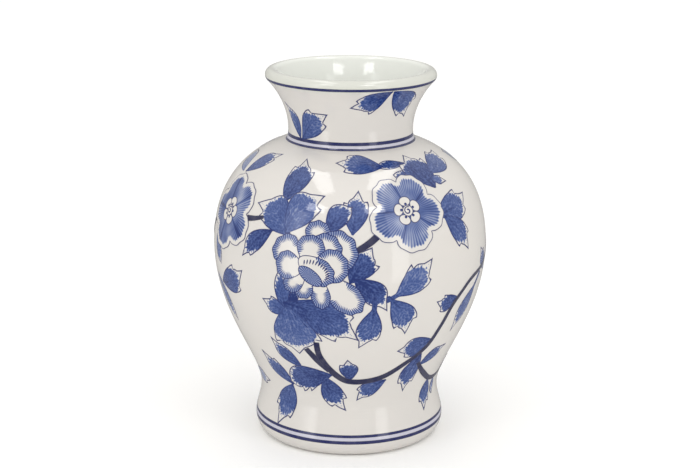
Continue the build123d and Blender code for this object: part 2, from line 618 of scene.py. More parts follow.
def brush_marks(tree):
    """The two vectors that every painted mark carries, split into their parts."""
    ink = add(tree, "ShaderNodeAttribute", {"attribute_name": "ink"}).outputs["Vector"]
    brush = add(tree, "ShaderNodeAttribute", {"attribute_name": "brush"}).outputs["Vector"]
    edge, first, second = add(tree, "ShaderNodeSeparateXYZ", inputs={0: ink}).outputs
    depth, margin, grain = add(tree, "ShaderNodeSeparateXYZ", inputs={0: brush}).outputs
    return edge, first, second, depth, margin, grain


def glazed_porcelain():
    """Thrown porcelain under clear glaze: warm white outside, a cooler lip, and painted light inside, where
    walls facing inwards are made whiter to lighten the shaded hollow.
    """
    material, tree = new_material("Glazed porcelain")
    spot = places(tree)
    facing = add(tree, "ShaderNodeNewGeometry").outputs["Normal"]
    level = add(tree, VECTOR, TIMES, {0: spot, 1: (1.0, 1.0, 0.0)} ).outputs[0]
    outward = add(tree, VECTOR, {"operation": "DOT_PRODUCT"}, {0: facing, 1: level} ).outputs["Value"]
    height = add(tree, "ShaderNodeSeparateXYZ", inputs={0: spot}).outputs["Z"]
    lip = add(tree, RANGE, inputs={"Value": height, "From Min": 192.5, "From Max": 195.0}).outputs[0]
    outer = add(
        tree,
        MIX,
        COLOUR,
        {"Factor": lip, "A": porcelain_colour(tree, spot), "B": linear("#CFD0C8")},
    ).outputs["Result"]
    # Painted light: walls that face the axis are mixed towards a whiter colour, lightening the shade inside
    # the vase
    inner = add(tree, RANGE, inputs={"Value": outward, "From Min": 0.0, "From Max": -18.0}).outputs[0]
    colour = add(
        tree,
        MIX,
        COLOUR,
        {"Factor": inner, "A": outer, "B": list(bpy.context.scene.cobalt_paint.painted_light_inside)},
    ).outputs["Result"]
    glaze(tree, colour, spot)
    return material


def foot_porcelain():
    """The same, ground bare on the resting face: dry, sandy and matt below the glaze line."""
    material, tree = new_material("Ground porcelain foot")
    spot = places(tree)
    white = porcelain_colour(tree, spot)
    height = add(tree, "ShaderNodeSeparateXYZ", inputs={0: spot}).outputs["Z"]
    grit = add(tree, NOISE, inputs={"Vector": spot, "Scale": 2.5, "Detail": 3.0}).outputs[0]
    wander = add(tree, MATH, TIMES_PLUS, {0: grit, 1: -0.3, 2: height} ).outputs[0]
    bare = add(
        tree,
        RANGE,
        SOFT,
        {"Value": wander, "From Min": 0.05, "From Max": 0.2, "To Min": 1.0, "To Max": 0.0},
    ).outputs[0]
    biscuit = add(
        tree,
        MIX,
        COLOUR,
        {"Factor": grit, "A": linear("#CDBFAE"), "B": linear("#E0D8CC")},
    ).outputs["Result"]
    colour = add(tree, MIX, COLOUR, {"Factor": bare, "A": white, "B": biscuit} ).outputs["Result"]
    rough = add(tree, RANGE, inputs={"Value": bare, "To Min": 0.07, "To Max": 0.85} ).outputs[0]
    glaze(tree, colour, spot, rough)
    return material


def leaf_wash():
    """Cobalt leaf dabbed with a loaded brush: a rounded wash that breaks into dots towards the white tip."""
    material, tree = new_material("Cobalt leaf wash")
    spot = places(tree)
    edge, along, side, depth, inside, grain = brush_marks(tree)
    flat = add(tree, "ShaderNodeCombineXYZ", inputs={"X": side, "Y": grain}).outputs[0]
    dots = add(
        tree, "ShaderNodeTexVoronoi", {"voronoi_dimensions": "2D"}, {"Vector": flat, "Scale": 1 / 1.25}
    ).outputs["Distance"]
    fade = add(
        tree,
        RANGE,
        inputs={"Value": along, "From Min": 0.3, "From Max": 0.9, "To Min": 0.3, "To Max": 3.2},
    ).outputs[0]
    solid = add(tree, MATH, {"operation": "DIVIDE"}, {0: inside, 1: fade}).outputs[0]
    full = add(tree, MATH, {"operation": "MINIMUM"}, {0: solid, 1: 1.0}).outputs[0]
    margin = add(tree, MATH, MINUS, {0: full, 1: dots}).outputs[0]
    filled = add(tree, RANGE, SOFT, {"Value": margin, "From Min": -0.4, "From Max": 0.16}).outputs[0]
    drawn = add(tree, MATH, TIMES, {0: grain, 1: 0.2}).outputs[0]
    sideways = add(tree, MATH, TIMES, {0: side, 1: 1.1}).outputs[0]
    brushed = add(tree, "ShaderNodeCombineXYZ", inputs={"X": sideways, "Y": drawn}).outputs[0]
    streak = add(tree, NOISE, inputs={"Vector": brushed, "Scale": 1.0, "Detail": 1.5}).outputs[0]
    pool = add(tree, NOISE, inputs={"Vector": spot, "Scale": 0.17, "Detail": 1.0}).outputs[0]
    load = 0.89
    swings = ((dots, 0.05, 0.75, -0.17), (streak, 0.3, 0.7, 0.09), (pool, 0.3, 0.7, 0.09))
    for value, low, high, swing in swings:
        part = add(
            tree,
            RANGE,
            inputs={"Value": value, "From Min": low, "From Max": high, "To Min": -swing, "To Max": swing},
        ).outputs[0]
        load = add(tree, MATH, PLUS, {0: load, 1: part}).outputs[0]
    distance = add(tree, MATH, {"operation": "ABSOLUTE"}, {0: side}).outputs[0]
    midrib = add(
        tree,
        RANGE,
        SOFT,
        {"Value": distance, "From Min": 0.15, "From Max": 0.8, "To Min": 0.2, "To Max": 0.0},
    ).outputs[0]
    fading = add(
        tree,
        RANGE,
        inputs={"Value": along, "From Min": 0.1, "From Max": 0.65, "To Min": 1.0, "To Max": 0.0},
    ).outputs[0]
    veined = add(tree, MATH, TIMES_PLUS, {0: midrib, 1: fading, 2: load}).outputs[0]
    spent = add(
        tree,
        RANGE,
        inputs={"Value": along, "From Min": 0.0, "From Max": 1.0, "To Min": 1.08, "To Max": 0.84},
    ).outputs[0]
    carried = add(tree, MATH, TIMES, {0: veined, 1: spent}).outputs[0]
    laid = add(tree, MATH, TIMES, {0: carried, 1: depth}).outputs[0]
    shown = add(tree, MATH, TIMES, {0: laid, 1: filled}).outputs[0]
    colour = washed(tree, porcelain_colour(tree, spot), shown)
    pressed = add(
        tree,
        RANGE,
        inputs={"Value": along, "From Min": 0.1, "From Max": 0.45, "To Min": 0.35, "To Max": 0.95},
    ).outputs[0]
    glaze(tree, outlined(tree, colour, edge, 0.62, pressed), spot)
    return material


def petal_wash():
    """Cobalt blossom: fine strokes drawn out from the heart, leaving a white scalloped margin."""
    material, tree = new_material("Cobalt petal strokes")
    spot = places(tree)
    edge, across, up, depth, margin, petals = brush_marks(tree)
    turn = add(tree, MATH, {"operation": "ARCTAN2"}, {0: up, 1: across}).outputs[0]
    stipple = add(tree, NOISE, inputs={"Vector": spot, "Scale": 0.9, "Detail": 2.0}).outputs[0]
    pool = add(tree, NOISE, inputs={"Vector": spot, "Scale": 0.10, "Detail": 1.0}).outputs[0]
    many = add(tree, MATH, TIMES, {0: turn, 1: 70.0}).outputs[0]
    bent = add(tree, MATH, TIMES_PLUS, {0: stipple, 1: 1.0, 2: many}).outputs[0]
    hair = add(tree, MATH, {"operation": "SINE"}, {0: bent}).outputs[0]
    few = add(tree, MATH, TIMES, {0: turn, 1: petals}).outputs[0]
    fold = add(tree, MATH, {"operation": "COSINE"}, {0: few}).outputs[0]
    creased = add(
        tree,
        RANGE,
        SOFT,
        {"Value": fold, "From Min": -0.9, "From Max": -1.0, "To Max": 0.35},
    ).outputs[0]
    reach_in = add(
        tree,
        RANGE,
        inputs={"Value": edge, "From Min": 4.0, "From Max": 14.0, "To Min": 0.2, "To Max": 0.08},
    ).outputs[0]
    strokes = add(tree, MATH, TIMES_PLUS, {0: hair, 1: reach_in, 2: creased}).outputs[0]
    pooled = add(tree, MATH, TIMES_PLUS, {0: pool, 1: 1.1, 2: 0.08}).outputs[0]
    dense = add(tree, MATH, PLUS, {0: strokes, 1: pooled}).outputs[0]
    full = add(tree, MATH, TIMES, {0: dense, 1: depth}).outputs[0]
    drawn = add(tree, MATH, TIMES_PLUS, {0: hair, 1: 0.28, 2: edge}).outputs[0]
    inward = add(tree, MATH, MINUS, {0: drawn, 1: margin}).outputs[0]
    filled = add(tree, RANGE, SOFT, {"Value": inward, "From Min": -0.3, "From Max": 0.7}).outputs[0]
    shown = add(tree, MATH, TIMES, {0: full, 1: filled}).outputs[0]
    colour = washed(tree, porcelain_colour(tree, spot), shown)
    glaze(tree, outlined(tree, colour, edge, 0.42, 0.9), spot)
    return material


def comb_wash():
    """Cobalt peony petal: white, with a border combed inward in short strokes about a millimetre apart."""
    material, tree = new_material("Cobalt comb border")
    spot = places(tree)
    edge, across, up, depth, margin, teeth = brush_marks(tree)
    turn = add(tree, MATH, {"operation": "ARCTAN2"}, {0: up, 1: across}).outputs[0]
    stipple = add(tree, NOISE, inputs={"Vector": spot, "Scale": 0.8, "Detail": 2.0}).outputs[0]
    many = add(tree, MATH, TIMES, {0: turn, 1: teeth}).outputs[0]
    bent = add(tree, MATH, TIMES_PLUS, {0: stipple, 1: 1.2, 2: many}).outputs[0]
    tooth = add(tree, MATH, {"operation": "SINE"}, {0: bent}).outputs[0]
    reached = add(tree, MATH, TIMES_PLUS, {0: tooth, 1: 0.7, 2: margin}).outputs[0]
    inward = add(tree, MATH, MINUS, {0: edge, 1: reached}).outputs[0]
    border = add(
        tree,
        RANGE,
        SOFT,
        {"Value": inward, "From Min": -0.45, "From Max": 0.45, "To Min": 1.0, "To Max": 0.0},
    ).outputs[0]
    combed = add(tree, MATH, TIMES_PLUS, {0: tooth, 1: 0.30, 2: 0.60}).outputs[0]
    full = add(tree, MATH, TIMES, {0: combed, 1: depth}).outputs[0]
    shown = add(tree, MATH, TIMES, {0: full, 1: border}).outputs[0]
    colour = washed(tree, porcelain_colour(tree, spot), shown)
    glaze(tree, outlined(tree, colour, edge, 0.45, 0.95), spot)
    return material


def line_ink(name, colour, strength):
    """Cobalt with iron laid on by brush or on the wheel: blue-black, a little thinner at its edges."""
    material, tree = new_material(name)
    spot = places(tree)
    edge = brush_marks(tree)[0]
    load = add(tree, NOISE, inputs={"Vector": spot, "Scale": 0.25, "Detail": 2.0}).outputs[0]
    loaded = add(
        tree,
        RANGE,
        inputs={
            "Value": load,
            "From Min": 0.3,
            "From Max": 0.7,
            "To Min": strength - 0.05,
            "To Max": strength,
        },
    ).outputs[0]
    rim = add(tree, RANGE, SOFT, {"Value": edge, "From Max": 0.4, "To Min": 0.94}).outputs[0]
    shown = add(tree, MATH, TIMES, {0: loaded, 1: rim}).outputs[0]
    mixed = add(
        tree,
        MIX,
        COLOUR,
        {"Factor": shown, "A": porcelain_colour(tree, spot), "B": list(colour)},
    ).outputs["Result"]
    glaze(tree, mixed, spot)
    return material


# ---------------------------------------------------------------------------
# Flat artwork: brush marks in degrees round the wall and millimetres up it
# ---------------------------------------------------------------------------


def edge_finder(outline):
    """A function that gives the distance from a point to a closed outline."""
    spots = []
    for (ax, ay), (bx, by) in zip(outline, outline[1:] + outline[:1]):
        steps = max(1, math.ceil(math.dist((ax, ay), (bx, by)) / 0.2))
        spots += [(ax + (bx - ax) * i / steps, ay + (by - ay) * i / steps, 0) for i in range(steps)]
    tree = kdtree.KDTree(len(spots))
    for i, spot in enumerate(spots):
        tree.insert(spot, i)
    tree.balance()
    return lambda spot: tree.find((spot[0], spot[1], 0))[2]


class Artwork:
    """Brush marks laid flat, each a thin closed slab, ready to be wrapped on the wall."""

    def __init__(self, wall, turn=0.0):
        self.wall = wall
        self.turn = turn - 90
        self.vertices = []
        self.faces = []
        self.ink = []
        self.brush = []
        self.layer = 0

    def local(self, centre, spot):
        """Millimetres from a centre to a place, both given in degrees and millimetres."""
        scale = math.radians(1) * self.wall.radius(centre[1])
        return ((spot[0] - centre[0]) * scale, spot[1] - centre[1])

    def lay(self, centre, spots, faces, ink, brush):
        """Add one slab: spots are millimetres from the centre, with two values each for the shader."""
        paint = bpy.context.scene.cobalt_paint
        self.layer += 1
        lift = paint.lift + paint.layer * self.layer
        scale = math.radians(1) * self.wall.radius(centre[1])
        start = len(self.vertices)
        count = len(spots)
        for height in (lift, -paint.bury):
            for x, y in spots:
                angle = math.radians(centre[0] + x / scale + self.turn)
                self.vertices.append((angle, (centre[1] + y) * MM, height))
        self.ink += ink * 2
        self.brush += brush * 2
        edges = Counter()
        for face in faces:
            for a, b in zip(face, face[1:] + face[:1]):
                edges[(a, b)] += 1
        for face in faces:
            self.faces.append([start + i for i in face])
            self.faces.append([start + count + i for i in reversed(face)])
        for a, b in edges:
            if (b, a) not in edges:
                self.faces.append([start + b, start + a, start + count + a, start + count + b])

    def leaf(self, base, tip, width, depth, bend=0.0, teeth=(), body=0.79, stalk=0.0):
        """A leaf from base to tip: a rounded wash inside a pointed outline.

        Teeth stand on the outline at shares of its length, on the left if positive. The wash ends
        at the share called body, and the blade begins at the share called stalk.
        """
        centre = ((base[0] + tip[0]) / 2, (base[1] + tip[1]) / 2)
        root, end = (Vector(self.local(centre, spot)) for spot in (base, tip))
        axis = end - root
        size = axis.length
        axis.normalize()
        left = Vector((-axis.y, axis.x))
        shares = {i / 32 for i in range(33)}
        for tooth in teeth:
            shares |= {abs(tooth) - 0.004, abs(tooth) + 0.004}
        shares = sorted(shares)
        neck = 1.3 if stalk else 0.5

        def halves(share, side):
            """Half widths of the outline and of the wash, on one side."""
            blade = max(0.0, (share - stalk) / (1 - stalk))
            point = 1.77 * (1 - blade) if blade > 0.6 else 0.0
            outer = width / 2 * max(swell(blade / (body + 0.04)), point)
            outer = max(outer, neck if share < 0.5 else 0.04)
            for tooth in teeth:
                if tooth * side > 0:
                    before, after = (abs(tooth) - share) / 0.18, (share - abs(tooth)) / 0.1
                    outer += width / 2 * 0.21 * (1 - before) if 0 <= before < 1 else 0.0
                    outer *= 1 - 0.14 * (1 - after) if 0 < after < 1 else 1.0
            inner = width / 2 * swell(blade / (body + 0.01)) * (1 - 0.08 * smooth(0.35, 0.7, blade))
            covered = 1 - smooth(0.3, 0.5, share)
            return outer, max(inner, covered * (outer + 1.5))

        def spot_at(share, side, away, lean):
            """Place of a point of the leaf a distance away from the spine."""
            spine = root + axis * size * share + left * bend * size * 4 * share * (1 - share)
            spot = spine + left * side * away + axis * lean
            return (spot.x, spot.y)

        across = (-1, -0.93, -0.8, -0.55, -0.25, 0, 0.25, 0.55, 0.8, 0.93, 1)
        spots = []
        detail = []
        washes = {-1: [], 1: []}
        for share in shares:
            for side in (-1, 1):
                outer, inner = halves(share, side)
                washes[side].append(spot_at(share, side, inner, inner * 0.3))
            for u in across:
                side = -1 if u < 0 else 1
                outer, inner = halves(share, side)
                away = abs(u) * outer
                spots.append(spot_at(share, side, away, abs(u) ** 1.3 * outer * 0.3))
                grain = share * size - 0.3 * away + 40 * self.layer
                detail.append((share, side * away, grain, 1 if away <= inner else -1))
        columns = len(across)
        outline = [spots[i * columns] for i in range(len(shares))]
        outline += [spots[i * columns + columns - 1] for i in reversed(range(len(shares)))]
        to_edge = edge_finder(outline)
        start = spot_at(-0.1, 1, 0.0, 0.0)
        to_wash = edge_finder([start] + washes[-1] + washes[1][::-1])
        ink = [(to_edge(s), d[0], d[1]) for s, d in zip(spots, detail)]
        brush = [(depth, to_wash(s) * d[3], d[2]) for s, d in zip(spots, detail)]
        self.lay(centre, spots, grid_faces(len(shares), columns), ink, brush)

    def bloom(self, centre, outline, depth, margin, count, radial=False, rings=8, base=None):
        """A patch with a rounded outline, given as millimetres from its centre, in rings round it.

        Strokes run out from the centre if radial, or else square to the nearest stretch of the outline.
        With a base, an angle in degrees, the margin narrows to a bare line on that side.
        """
        size = len(outline)
        spots = [(0.0, 0.0)]
        for ring in range(1, rings + 1):
            share = (ring / rings) ** 0.7
            spots += [(x * share, y * share) for x, y in outline]
        faces = [[0, 1 + i, 1 + (i + 1) % size] for i in range(size)]
        for ring in range(rings - 1):
            first = 1 + ring * size
            for i in range(size):
                j = (i + 1) % size
                faces.append([first + i, first + size + i, first + size + j, first + j])
        steps = [math.dist(a, b) for a, b in zip(outline, outline[1:] + outline[:1])]
        run = 0.0
        turns = []
        for (x, y), step in zip(outline, steps):
            turns.append(math.atan2(y, x) if radial else math.tau * run / sum(steps))
            run += step
        to_edge = edge_finder(outline)
        ink = [(to_edge(spots[0]), 0.0, 0.0)]
        brush = [(depth, margin, count)]
        for i, spot in enumerate(spots[1:]):
            turn = turns[i % size]
            ink.append((to_edge(spot), math.cos(turn), math.sin(turn)))
            off = 1.0
            if base is not None:
                off = math.cos(math.atan2(spot[1], spot[0]) - math.radians(base))
                off = smooth(0.85, 0.1, off)
            brush.append((depth, margin * off - 1.2 * (1 - off), count))
        self.lay(centre, spots, faces, ink, brush)

    def stroke(self, path, widths, depth=1.0):
        """A brush stroke along a path, its widths in millimetres spread evenly along it."""
        line = smooth_path(path, self.wall)
        centre = line[len(line) // 2]
        scale = math.radians(1) * self.wall.radius(centre[1])
        across = (-1, -0.6, 0, 0.6, 1)
        spots = []
        ink = []
        brush = []
        run = 0.0
        for i, (angle, climb) in enumerate(line):
            before, after = line[max(i - 1, 0)], line[min(i + 1, len(line) - 1)]
            here = math.radians(1) * self.wall.radius(climb)
            along = Vector(((after[0] - before[0]) * here, after[1] - before[1])).normalized()
            share = i / (len(line) - 1)
            half = spread(widths, share) / 2
            if i:
                run += math.hypot((angle - line[i - 1][0]) * here, climb - line[i - 1][1])
            for u in across:
                x = (angle - along.y * u * half / here - centre[0]) * scale
                spots.append((x, climb + along.x * u * half - centre[1]))
                ink.append((half * (1 - abs(u)), share, u * half))
                brush.append((depth, half, run))
        self.lay(centre, spots, grid_faces(len(line), len(across)), ink, brush)

    def ring(self, low, high, wobble):
        """A line turned right round the wall between two heights up it, in millimetres."""
        steps = 240
        across = (0.0, 0.2, 0.5, 0.8, 1.0)
        spots = []
        ink = []
        for i in range(steps + 1):
            turn = math.tau * i / steps
            stray = wobble * noise.noise(Vector((3 * math.cos(turn), 3 * math.sin(turn), low)))
            for share in across:
                climb = low + stray * (1 - share) + (high - low) * share
                spots.append((360 * i / steps, climb))
                ink.append((min(share, 1 - share) * (high - low), share, 0.0))
        start = len(self.vertices)
        paint = bpy.context.scene.cobalt_paint
        columns = len(across)
        count = steps * columns
        for height in (paint.lift, -paint.bury):
            self.vertices += [(math.radians(a), c * MM, height) for a, c in spots[:count]]
        self.ink += ink[:count] * 2
        self.brush += [(1.0, 1.0, 1.0)] * (2 * count)
        for i in range(steps):
            for j in range(columns - 1):
                a, b = start + i * columns + j, start + (i + 1) % steps * columns + j
                self.faces.append([a, b, b + 1, a + 1])
                self.faces.append([count + a + 1, count + b + 1, count + b, count + a])
            a, b = start + i * columns, start + (i + 1) % steps * columns
            self.faces.append([b, a, count + a, count + b])
            a, b = a + columns - 1, b + columns - 1
            self.faces.append([a, b, count + b, count + a])

    def mesh(self, name):
        """The artwork as a flat mesh with its two attributes."""
        mesh = bpy.data.meshes.new(name)
        mesh.from_pydata(self.vertices, [], self.faces)
        for label, values in (("ink", self.ink), ("brush", self.brush)):
            layer = mesh.attributes.new(label, "FLOAT_VECTOR", "POINT")
            layer.data.foreach_set("vector", [v for value in values for v in value])
        return mesh


def swell(share):
    """How full a leaf's rounded body is at a share of its length: 0 at both ends, 1 at the fullest."""
    return math.sin(math.pi * share**1.1) ** 0.75 if 0 < share < 1 else 0.0


def smooth(low, high, value):
    """An even rise from 0 to 1 between two values."""
    share = min(max((value - low) / (high - low), 0.0), 1.0)
    return share * share * (3 - 2 * share)


def spread(values, share):
    """The value at a share of the way through a list of values."""
    place = share * (len(values) - 1)
    i = min(int(place), len(values) - 2)
    return values[i] + (values[i + 1] - values[i]) * (place - i)


def grid_faces(rows, columns):
    """Faces of a grid of points given row by row, facing up when rows run to the right of columns."""
    faces = []
    for i in range(rows - 1):
        for j in range(columns - 1):
            a = i * columns + j
            faces.append([a, a + columns, a + columns + 1, a + 1])
    return faces


def smooth_path(path, wall, step=1.3):
    """A smooth line through places given in degrees and millimetres, with a point every step."""
    ends = [path[0]] + list(path) + [path[-1]]
    line = [path[0]]
    for a, b, c, d in zip(ends, ends[1:], ends[2:], ends[3:]):
        scale = math.radians(1) * wall.radius((b[1] + c[1]) / 2)
        count = max(2, round(math.hypot((c[0] - b[0]) * scale, c[1] - b[1]) / step))
        for k in range(1, count + 1):
            t = k / count
            spot = []
            for p, q, r, s in zip(a, b, c, d):
                bend = (2 * p - 5 * q + 4 * r - s) * t * t + (3 * q - p - 3 * r + s) * t**3
                spot.append(0.5 * (2 * q + (r - p) * t + bend))
            line.append(tuple(spot))
    return line


def flower_outline(radius, petals, turn, notch, steps=240):
    """The scalloped outline of an open flower with a number of petals, turned by degrees."""
    outline = []
    for i in range(steps):
        angle = math.tau * i / steps
        place = petals / 2 * (angle - math.radians(turn))
        lobe = abs(math.cos(place)) ** 0.5
        ripple = 0.018 * math.cos(7 * place) * abs(math.cos(place))
        size = radius * (1 - notch * (1 - lobe) + ripple)
        outline.append((size * math.cos(angle), size * math.sin(angle)))
    return outline


def round_outline(radius_x, radius_y, tilt=0.0, steps=40):
    """An oval tilted by degrees."""
    turn = math.radians(tilt)
    spots = arc((0, 0), radius_x, radius_y, 0, 360, steps)[:-1]
    across, up = math.cos(turn), math.sin(turn)
    return [(x * across - y * up, x * up + y * across) for x, y in spots]


def petal_outline(length_mm, width_mm, heading, steps=180):
    """A broad petal, narrow at the base and scalloped on its far side, heading at an angle in degrees."""
    outline = []
    turn = math.radians(heading)
    for i in range(steps):
        angle = math.tau * i / steps
        far = smooth(-0.3, 0.9, math.cos(angle))
        size = 1 + 0.035 * far * math.cos(9 * angle)
        x = length_mm / 2 * size * math.cos(angle)
        y = width_mm / 2 * size * math.sin(angle) * (0.72 + 0.28 * smooth(-1, 0.6, math.cos(angle)))
        outline.append((x * math.cos(turn) - y * math.sin(turn), x * math.sin(turn) + y * math.cos(turn)))
    return outline


# ---------------------------------------------------------------------------
# Where the painter put the leaves: the layer that each group starts on, and for each leaf its base,
# tip, width, depth of colour, bend to the left, teeth, the share where the wash ends, and its stalk.
# These places and shares were measured with tools and adjusted by hand; they follow from no rule.
# Places are degrees round the wall from the front and millimetres up the wall.
# ---------------------------------------------------------------------------

LEAVES = {
    "neck_leaves": (
        0,
        ((-49, 192), (-19, 207.5), 14, 0.74, 0.08, (0.66, -0.70)),
        ((-51, 192), (-68, 211), 8, 0.74, -0.04, (), 0.81),
        ((29, 223), (-1, 212), 12.5, 0.90, 0.09, (0.60, -0.74)),
        ((30, 223), (52, 204), 15, 0.84, 0.10, (0.66, -0.70), 0.83),
    ),
    "left_shoulder_leaves": (
        0,
        ((-73, 159.5), (-92, 172), 10, 0.42, 0.0, (), 0.90),
        ((-70, 160), (-53, 178.5), 12, 0.80, 0.08, (-0.74,)),
        ((-31, 149.8), (-31, 179), 14, 0.90, -0.09, (0.70, -0.60), 0.81),
    ),
    "bulb_leaves": (
        3,
        ((-25, 133.5), (-45.5, 147), 18, 0.78, -0.16, (0.70,), 0.79),
        ((-27.5, 134.5), (-11.5, 155.5), 18, 0.74, 0.15, (-0.70,), 0.80),
        ((-33.5, 135), (-49, 118), 10.5, 0.95, -0.06, (0.74,), 0.83),
    ),
    "left_edge_leaves": (
        0,
        ((-74, 124), (-67.5, 108), 9, 0.70, 0.0, (), 0.90),
        ((-69, 98), (-49, 110.5), 14.5, 0.86, -0.09, (0.64, -0.66), 0.81),
        ((-75, 101), (-63, 76.5), 9, 0.62, 0.04, (), 0.90),
        ((-80, 40), (-57.5, 38), 9, 0.40, 0.0, (-0.70,)),
    ),
    "upper_leaves": (
        0,
        ((37, 174.5), (16, 173.5), 7, 0.96, -0.05, (), 0.95),
        ((20.5, 173.5), (-10, 177), 15.5, 0.80, -0.05, (-0.74, 0.70), 0.81),
        ((45, 160), (24, 167.5), 9, 1.05, -0.03, (), 0.95),
        ((45.5, 156), (40.5, 181), 19, 0.98, 0.04, (-0.62, 0.70), 0.81),
        ((46, 162), (56, 158), 6, 0.70, 0.0, (0.60,), 0.70),
        ((48, 165), (75, 178), 13.5, 0.74, -0.05, (0.66, -0.74), 0.81),
    ),
    "blossom_leaves": (
        4,
        ((39.5, 142.5), (64, 149.5), 15.5, 0.78, -0.07, (0.66, -0.74), 0.80),
        ((44, 141), (57, 120), 12.5, 0.78, 0.07, (0.70, -0.66), 0.81),
    ),
    "twin_leaves": (
        0,
        ((1, 135.5), (4, 159), 13, 0.78, 0.0, (-0.70, 0.60), 0.80),
        ((-9.5, 135), (1.5, 150), 12, 0.88, 0.14, (), 0.90),
    ),
    "middle_leaves": (
        3,
        ((0, 111), (9, 129.5), 15.5, 0.98, 0.0, (-0.60, 0.70), 0.80),
        ((1.5, 113.5), (15.5, 95), 13, 0.98, 0.08, (), 0.80),
        ((10, 104), (4, 72.5), 13.5, 0.84, 0.08, (0.74,), 0.81, 0.2),
    ),
    "fork_leaves": (
        0,
        ((14.5, 100.5), (35, 121), 14.5, 0.70, -0.06, (0.60, -0.72), 0.80, 0.17),
        ((15, 103.5), (25, 79.5), 14, 0.76, 0.12, (0.70, -0.66), 0.80, 0.1),
    ),
    "branch_leaves": (
        0,
        ((52, 95.5), (38.5, 96.5), 10, 0.90, 0.14, (0.70, -0.62), 0.80),
        ((71, 104), (55, 73), 11.5, 0.76, -0.06, (), 0.83, 0.2),
        ((77, 103), (70, 117.5), 9, 0.76, 0.0, (-0.70,), 0.80),
    ),
    "low_right_leaves": (
        3,
        ((42.5, 72), (23, 68.5), 13.5, 0.84, 0.04, (0.74,), 0.81),
        ((38.5, 63.5), (34.5, 37.5), 11.5, 0.90, -0.06, (-0.74, 0.70), 0.83),
        ((40, 54.5), (57, 64.5), 8, 0.84, 0.05, (), 0.81),
        ((56, 41), (54.5, 22), 9.5, 0.82, 0.05, (-0.66, 0.70), 0.80),
        ((64, 40), (66.5, 28.5), 4.5, 0.55, 0.0, (), 0.95),
    ),
    "low_left_leaves": (
        0,
        ((-27, 90), (-28.5, 116), 9.5, 0.84, 0.0, (), 0.95),
        ((-26, 91.5), (-38.5, 98), 9.5, 0.74, 0.0, (-0.66,), 0.80),
        ((-25, 95), (-21.5, 107), 5.5, 1.25, 0.0, (), 0.95),
        ((-28, 98), (4, 77.5), 21.5, 0.92, 0.09, (-0.70, 0.74), 0.83),
        ((-26.5, 96.5), (-24.5, 66), 25.5, 0.72, 0.02, (-0.64, 0.56), 0.83),
    ),
    "low_twig_leaves": (
        5,
        ((-25, 56), (-39, 74.5), 9, 0.84, 0.06, (), 0.80),
        ((-34.5, 42), (-50.5, 62), 10, 0.80, 0.05, (-0.66,), 0.80),
        ((-35.5, 42), (-48.5, 15.5), 13, 0.76, -0.03, (-0.62, 0.66), 0.80),
        ((-9, 53), (-36, 44), 16.5, 0.96, -0.06, (0.70, 0.52), 0.94),
    ),
    "low_middle_leaves": (
        1,
        ((-13.5, 51.5), (-1.5, 29), 12.5, 0.88, -0.10, (-0.74, 0.66), 0.79),
        ((0.5, 49), (-0.8, 64.5), 10, 0.92, 0.0, (0.70,), 0.80),
        ((21, 48.5), (4.5, 35), 10, 0.84, -0.08, (-0.70,), 0.80),
    ),
}

MAIN_BRANCH = (
    (100, 129),
    (92, 120),
    (84, 112),
    (75, 107),
    (62, 103.5),
    (55, 98.5),
    (49, 91),
    (45, 80),
    (41, 69.5),
    (36, 63.5),
    (30, 58.5),
    (20, 51.5),
    (10, 48.5),
    (0, 48.5),
    (-6, 52),
    (-11, 58.5),
    (-14.5, 67),
    (-15, 75.5),
)
MAIN_BRANCH_WIDTHS = (1.6, 2.1, 2.3, 2.6, 2.7, 3.0, 3.5, 3.7, 3.0)
TWIGS = (
    (((-10, 56), (-15.5, 62.5), (-20.5, 70.5)), (3.8, 3.8, 3.0)),
    (
        ((38.5, 57), (43, 51.5), (48, 46.8), (56, 41.5), (65, 40), (73, 42), (80, 49)),
        (2.0, 3.2, 3.0, 2.6, 2.0),
    ),
    (((2, 127), (9, 132.5), (15.5, 140)), (3.0, 3.6, 3.8)),
    (((-49, 138), (-44, 139), (-39.5, 140.5)), (3.4, 2.6, 1.8)),
)

# Open flowers: centre, radius, petals, turn and depth of colour
BLOSSOMS = {
    "right_blossom": ((25.8, 146.5), 21.5, 5, 62, 0.80),
    "left_blossom": ((-63.5, 138.5), 21.5, 5, 40, 0.95),
}

# The peony: its middle, then each petal's place in millimetres from it, length, width and heading,
# from the hindmost to the nearest
PEONY = (-16, 118)
PEONY_PETALS = (
    (3.5, 17.5, 14, 14, 88),
    (13.0, 8.5, 23, 23, 35),
    (-12.5, 8.0, 16, 18, 138),
    (17.0, -13.5, 26, 17, -42),
    (5.6, -13.0, 17, 11, -84),
    (-2.8, -10.0, 13, 11, -112),
    (-8.0, -7.5, 14, 11, -138),
    (-11.0, 0.5, 15, 16, 172),
    (7.6, 9.3, 18, 18, 52),
    (0.2, 9.5, 15, 16, 82),
    (10.5, 1.2, 19, 19, 22),
    (3.2, -0.6, 21, 15, -32),
)
SEED_POD = (0.4, -4.0, 7.4, 3.7, -36)

# Layers that the marks start on, from the wall outwards
BRANCH_LAYER = 10
PEONY_LAYER = 12
BLOSSOM_LAYER = 14


# ---------------------------------------------------------------------------
# Operators
# ---------------------------------------------------------------------------


def painted(name, artwork, material, *replaced, slot="cobalt_line"):
    """Wrap flat artwork on the wall and deliver it as one piece."""
    values = {"Outline": bpy.data.objects["Wall outline"], "Material": bpy.data.materials[material]}
    mesh = made_by_tree(name, artwork.mesh(name), bpy.data.node_groups["Painting on the wall"], values)
    shade_like_wall(mesh, artwork.wall)
    return deliver(name, mesh, slot, *replaced)


